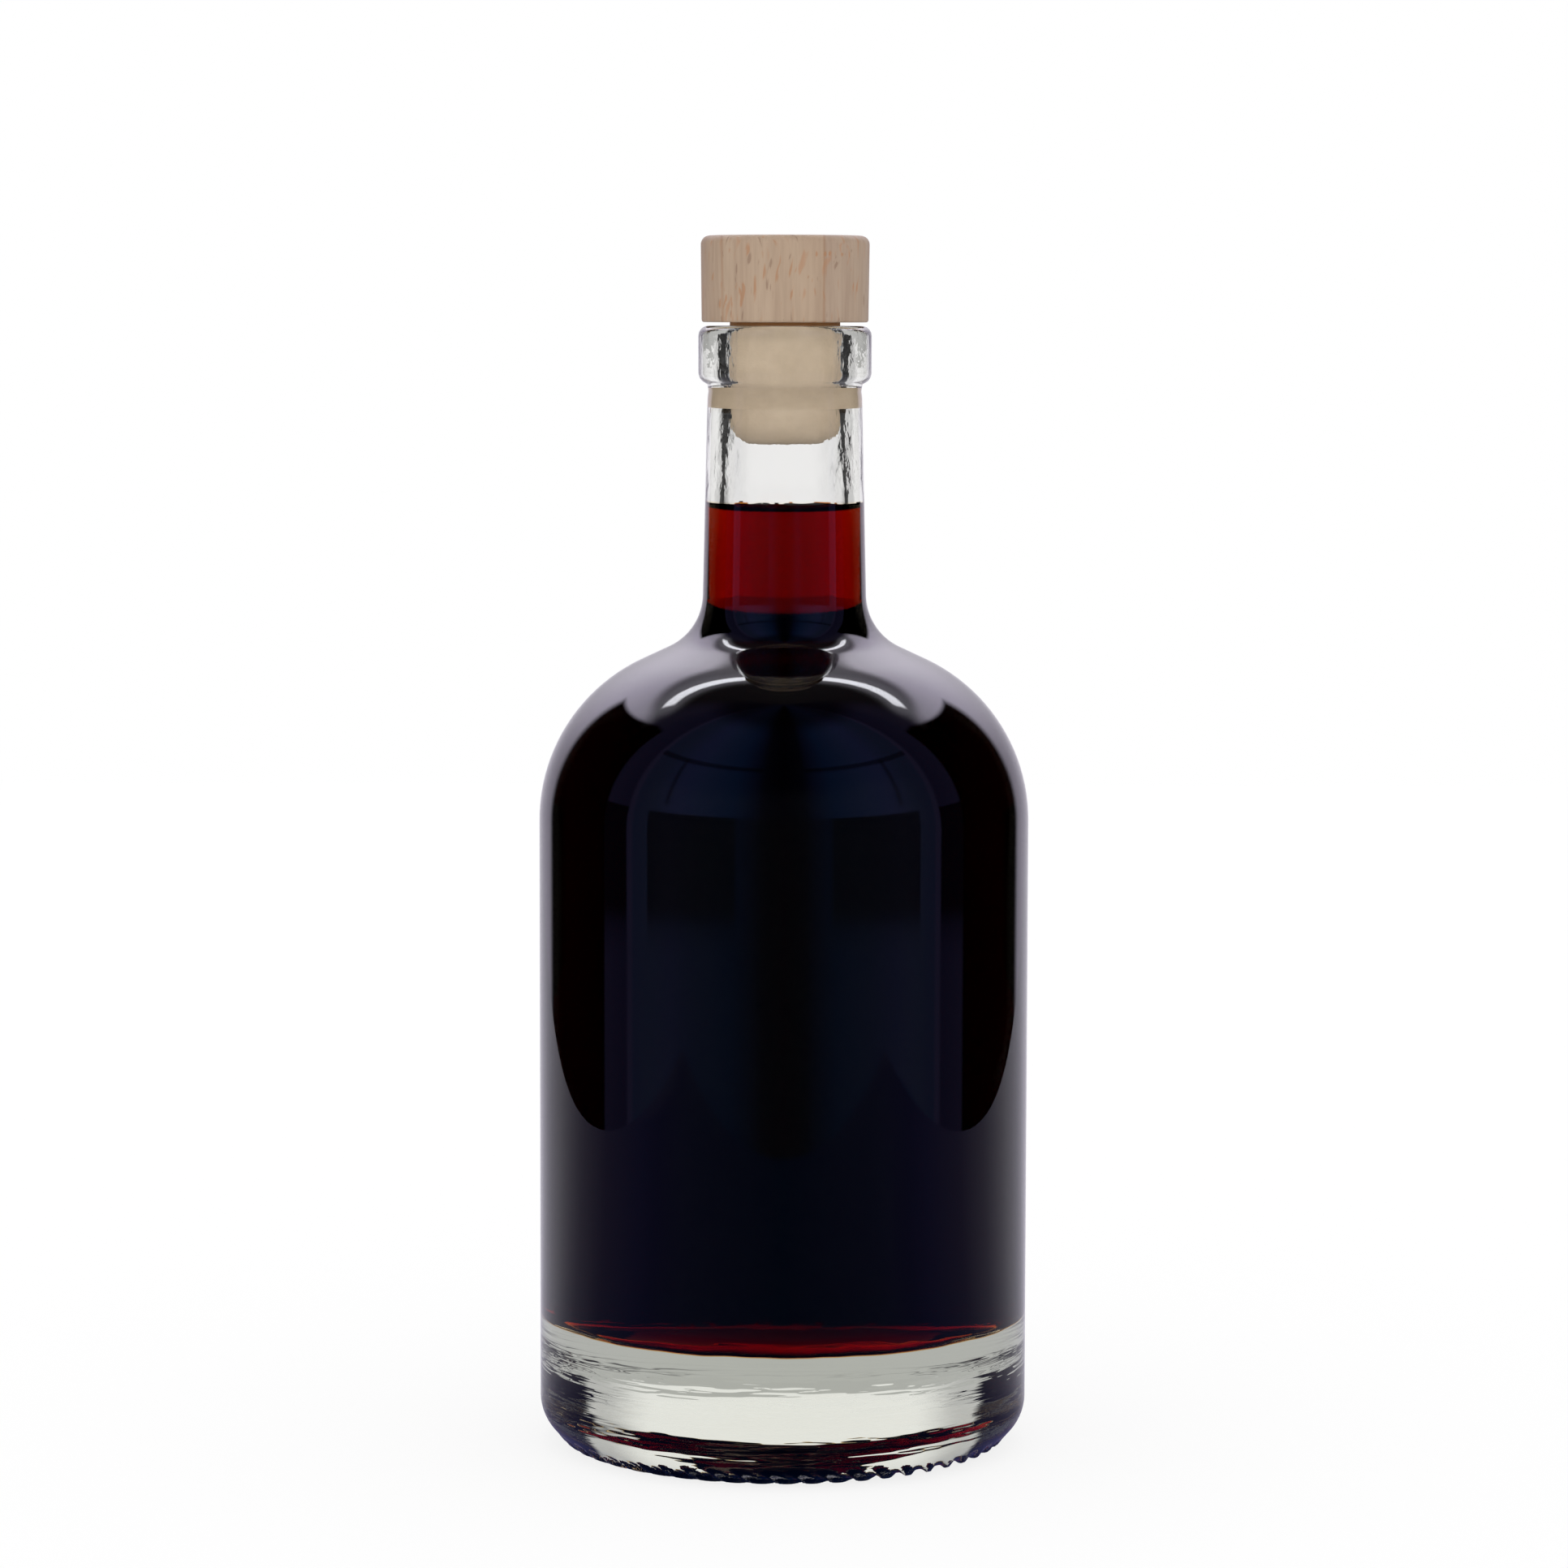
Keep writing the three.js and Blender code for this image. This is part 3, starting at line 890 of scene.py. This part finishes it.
# %% Colours of the room
front_stops = (
    (0, (0.000, 0.000, 0.004)), (10, (0.002, 0.004, 0.015)), (14, (0.007, 0.014, 0.05)),
    (25, (0.014, 0.04, 0.13)), (41, (0.035, 0.06, 0.17)), (54, (0.055, 0.075, 0.23)),
    (67, (0.07, 0.10, 0.24)), (74.5, (0.075, 0.10, 0.25)), (75.5, (0.125, 0.117, 0.285)),
    (77.5, (0.12, 0.11, 0.27)), (79, (0.055, 0.052, 0.15)), (92, (0.065, 0.062, 0.16)),
    (100, (0.09, 0.08, 0.17)), (180, (0.09, 0.08, 0.17)),
)
panel_stops = ((145, (0.70, 0.65, 0.80)), (180, (0.80, 0.77, 0.84)))
front_colour = by_angle(sky, turn, front_stops)
panel_colour = by_angle(sky, turn, panel_stops)
print("colour stops in front and on the panel:", len(front_stops), len(panel_stops))

# %% [markdown]
# Black flats stand beside the bottle and give it its sharp black sides. They end in a slanted top
# edge, and the glow of the panel shows over them. Each mask says where one of the two is seen.

# %% Flats and panel
flat_slant = -0.36
flat_reach = 84.0
flat_highest = 48.0
slanted_top = calc(sky, "MULTIPLY_ADD", turn, flat_slant, flat_reach)
flat_top = calc(sky, "MINIMUM", slanted_top, flat_highest)
over_flats = rise(sky, height, calc(sky, "SUBTRACT", flat_top, 1.0), calc(sky, "ADD", flat_top, 1.5))
behind = rise(sky, turn, 138, 145)
glow_over = calc(sky, "MULTIPLY", over_flats, rise(sky, turn, 101, 121))
panel_share = calc(sky, "MAXIMUM", behind, glow_over)
flats = calc(sky, "MULTIPLY", rise(sky, turn, 91.5, 93.5), calc(sky, "SUBTRACT", 1.0, over_flats))
print("the flats are at most", flat_highest, "degrees high")

# %% [markdown]
# The windows in front have dim panes low down, brighter upper lights, and thin dark glazing bars: a
# transom across and a mullion up. Each is a box in turn and height. What a box darkens is taken
# away from the level of the front's light, one after the other.

# %% Windows in front
def box(turns, heights, turn_soft=1):
    """1 inside a range of turns and a range of heights."""
    across_share = band(sky, turn, *turns, turn_soft)
    return calc(sky, "MULTIPLY", across_share, band(sky, height, *heights, 1))


def darken(level, mask, amount):
    """Takes a share of the level away where the mask is 1."""
    return calc(sky, "MULTIPLY", level, calc(sky, "MULTIPLY_ADD", mask, -amount, 1.0))


pane_heights = (-6.4, 9.5)
upper_light = calc(sky, "MULTIPLY", rise(sky, height, 9, 11), rise(sky, turn, 72, 40))
front_level = calc(sky, "MULTIPLY_ADD", upper_light, 1.0, 1.0)
dark_parts = {
    "pane": (box((23, 66), pane_heights), 0.75),
    "side pane": (box((79, 96), pane_heights), 0.85),
    "transom": (box((13, 75), (40.2, 41.8), 2), 0.6),
    "mullion": (box((57.4, 58.6), (15, 41)), 0.5),
    "flats": (flats, 1.0),
    "panel": (panel_share, 1.0),
    "ceiling": (rise(sky, height, 64, 76), 0.75),
}
for mask, amount in dark_parts.values():
    front_level = darken(front_level, mask, amount)
print("darkened in the front:", ", ".join(dark_parts))

# %% [markdown]
# The panel gets brighter up to where two long lamps hang over it, one at each side, and is dark
# above them. The lamps make the two bright arcs on the shoulder. They hang a little askew, so the
# height of a lamp depends on the turn, and a faint halo softens their edge.

# %% Panel and lamps
lamp_tilt = 0.21
lamp_middle = 122
lamp_middle_height = 53.5
lamp_turns = (121, 164)
halo_turns = (116, 165)
lamp_height = calc(sky, "MULTIPLY_ADD", turn, lamp_tilt, lamp_middle_height - lamp_tilt * lamp_middle)
over_lamp = calc(sky, "SUBTRACT", height, lamp_height)
off_lamp = calc(sky, "ABSOLUTE", over_lamp)

panel_climb = calc(sky, "MULTIPLY", rise(sky, height, 4, 42), rise(sky, height, 50, 44))
panel_level = calc(sky, "MULTIPLY_ADD", panel_climb, 2.8, 1.0)
panel_level = calc(sky, "MULTIPLY", panel_level, panel_share)
panel_level = darken(panel_level, rise(sky, over_lamp, 1.5, 7.0), 0.93)

lamp_strength = 9.0
halo_strength = 0.5
lamp = calc(sky, "MULTIPLY", band(sky, turn, *lamp_turns, 4), rise(sky, off_lamp, 2.9, 1.4))
halo = calc(sky, "MULTIPLY", band(sky, turn, *halo_turns, 12), rise(sky, off_lamp, 9, 2))
halo_level = calc(sky, "MULTIPLY", halo, halo_strength)
lamp_level = calc(sky, "MULTIPLY_ADD", lamp, lamp_strength, halo_level)
print("lamps at turns", lamp_turns, "with strength", lamp_strength)

# %% [markdown]
# What shines through the glass is drawn apart from what it mirrors. Behind the bottle it is a white
# panel, brightest in its middle and dark high up, with black beside it, which is why clear glass has
# dark edges. The room in front shines through too, for whoever looks from behind.

# %% Light through the glass
black_side = 0.005
through = calc(sky, "MULTIPLY_ADD", rise(sky, turn, 136, 140), 0.575, black_side)
through = calc(sky, "MULTIPLY_ADD", rise(sky, turn, 144, 158), 0.35, through)
through = calc(sky, "MULTIPLY_ADD", rise(sky, turn, 80, 60), 0.55, through)
through = darken(through, rise(sky, height, 22, 34), 0.85)
clear = backdrop(sky, (1, 0.99, 0.985, 1), through)
print("the studio has", len(sky.nodes), "nodes so far")

# %% [markdown]
# Light Path keeps the pictures apart. The camera sees plain white. Glossy rays see the mirrored
# room, rays that went through glass see the picture above, and rays that left a matt surface get
# even light, a little stronger from the front. The last choice in the chain wins, so the camera's
# comes last.

# %% Studio light
paths = add_node(sky, "ShaderNodeLightPath").outputs
lamp_colour = (0.93, 0.94, 1.0, 1)
walls = add_node(sky, "ShaderNodeAddShader", [
    (0, backdrop(sky, front_colour, front_level)), (1, backdrop(sky, panel_colour, panel_level)),
]).outputs[0]
gloss = add_node(sky, "ShaderNodeAddShader", [
    (0, walls), (1, backdrop(sky, lamp_colour, lamp_level)),
]).outputs[0]
front_light = calc(sky, "MULTIPLY_ADD", axes.outputs["Y"], -0.30, 1.02)
ambient = backdrop(sky, WHITE, front_light)

seen = choose(sky, paths["Is Glossy Ray"], ambient, gloss)
seen = choose(sky, paths["Is Transmission Ray"], seen, clear)
from_matt = calc(sky, "GREATER_THAN", paths["Diffuse Depth"], 0.5)
seen = choose(sky, from_matt, seen, ambient)
seen = choose(sky, paths["Is Camera Ray"], seen, backdrop(sky, WHITE, 1.0))
world_output = add_node(sky, "ShaderNodeOutputWorld")
sky.links.new(seen, world_output.inputs["Surface"])
print("the studio has", len(sky.nodes), "nodes in all")

# %% [markdown]
# The floor is a pale table top, 0.77 m wide, that runs back to the panel. Its front and side edges
# are where the dark flats begin in the bottle's reflections. A grid of one face is enough for it.

# %% Table top
table_half_width = 0.385
table_front = -0.37
table_back = 1.2
bm = bmesh.new()
bmesh.ops.create_grid(bm, x_segments=1, y_segments=1, size=1)
bmesh.ops.scale(bm, vec=(table_half_width, (table_back - table_front) / 2, 1), verts=bm.verts)
bmesh.ops.translate(bm, vec=(0, (table_back + table_front) / 2, 0), verts=bm.verts)
floor_mesh = bpy.data.meshes.new("floor")
bm.to_mesh(floor_mesh)
bm.free()
floor = bpy.data.objects.new("floor", floor_mesh)
bpy.context.scene.collection.objects.link(floor)
print("table width and depth in m:", 2 * table_half_width, round(table_back - table_front, 2))

# %% [markdown]
# The camera sees the table white with the bottle's contact shadow on it, because most of its colour
# is light of its own and the rest is lit. In gloss it is dim in front and brightens towards the
# panel, as a real table under side light. Through the glass it is black close to the bottle, a
# painted shadow of the bottle, black at its sides, and half bright farther off, which gives the base
# its dark foot and its pale middle.

# %% Table material
table, table_tree, table_shader = new_material("pale_table", Base_Color=(0.9, 0.9, 0.9, 1), Roughness=0.9)


def glow(shade, strength):
    """Light of the table's own."""
    inputs = [("Color", shade), ("Strength", strength)]
    return add_node(table_tree, "ShaderNodeEmission", inputs).outputs[0]


table_place = add_node(table_tree, "ShaderNodeTexCoord").outputs["Object"]
table_turn, table_axes = turned(table_tree, table_place)
table_gloss = by_angle(table_tree, table_turn, [
    (0, (0.0, 0.01, 0.06)), (40, (0.02, 0.03, 0.11)), (67, (0.07, 0.07, 0.21)),
    (86, (0.11, 0.10, 0.22)), (103, (0.23, 0.215, 0.32)), (124, (0.49, 0.475, 0.56)),
    (140, (0.60, 0.58, 0.68)), (152, (0.72, 0.69, 0.80)), (180, (0.80, 0.77, 0.84)),
])
squares = [calc(table_tree, "POWER", table_axes.outputs[axis], 2.0) for axis in "XY"]
far = calc(table_tree, "SQRT", calc(table_tree, "ADD", *squares))
far_light = 0.50
# Painted shadow: through the glass the table glows only farther than 66 mm from the bottle's axis.
behind_glass = calc(table_tree, "MULTIPLY", rise(table_tree, far, 0.066, 0.080), far_light)
beside = band(table_tree, table_turn, 62, 112, 20)
behind_glass = calc(table_tree, "MULTIPLY", behind_glass, calc(table_tree, "SUBTRACT", 1.0, beside))
print("the table is", far_light, "bright through the glass, far off")

# %% [markdown]
# The table's pictures are chosen by Light Path in the same order as the studio's. The camera's own
# ray needs no choice here, because it gets the first shader, white and lit.

# %% Table light
own_light_share = 0.79
own_light_strength = 1.03
own_light = glow(WHITE, own_light_strength)
lit = choose(table_tree, own_light_share, table_shader.outputs[0], own_light)
shown = glow((1, 1, 0.98, 1), behind_glass)
table_paths = add_node(table_tree, "ShaderNodeLightPath").outputs
seen = choose(table_tree, table_paths["Is Glossy Ray"], lit, glow(table_gloss, 1.0))
seen = choose(table_tree, table_paths["Is Transmission Ray"], seen, shown)
from_matt = calc(table_tree, "GREATER_THAN", table_paths["Diffuse Depth"], 0.5)
seen = choose(table_tree, from_matt, seen, table_shader.outputs[0])
table_tree.links.new(seen, table_tree.nodes["Material Output"].inputs["Surface"])
floor_mesh.materials.append(table)
print("the table has", len(table_tree.nodes), "nodes")

# %% [markdown]
# The camera stands 863 mm from the bottle's axis, a little above its middle and tipped 5.4 degrees
# down. Both come from fitting the bottle's outline and the curve of its foot. A hair of roll
# matches how the camera was held.

# %% Camera
camera_distance = 862.9 * MM
camera_tip = math.radians(5.37)
aim_height = 112.8 * MM
camera_data = bpy.data.cameras.new("camera")
camera_data.sensor_width = 36.0
camera_data.lens = 116.66
print("field of view:", round(math.degrees(camera_data.angle), 2), "degrees")
camera = bpy.data.objects.new("camera", camera_data)
bpy.context.scene.collection.objects.link(camera)
camera.location = (
    0.0,
    -camera_distance * math.cos(camera_tip),
    aim_height + camera_distance * math.sin(camera_tip),
)
camera_roll = math.radians(0.13)
turn_down = Matrix.Rotation(math.pi / 2 - camera_tip, 3, "X")
camera.rotation_euler = (turn_down @ Matrix.Rotation(camera_roll, 3, "Z")).to_euler()
bpy.context.scene.camera = camera

# %% [markdown]
# The Standard view keeps white at white. A ray that ends in the base has crossed glass and liquid
# many times, so the light paths may be long.

# %% View and light paths
bpy.context.scene.view_settings.view_transform = "Standard"
cycles = bpy.context.scene.cycles
cycles.max_bounces = 32
cycles.transmission_bounces = 32
cycles.glossy_bounces = 12
print("bounces through glass:", cycles.transmission_bounces)
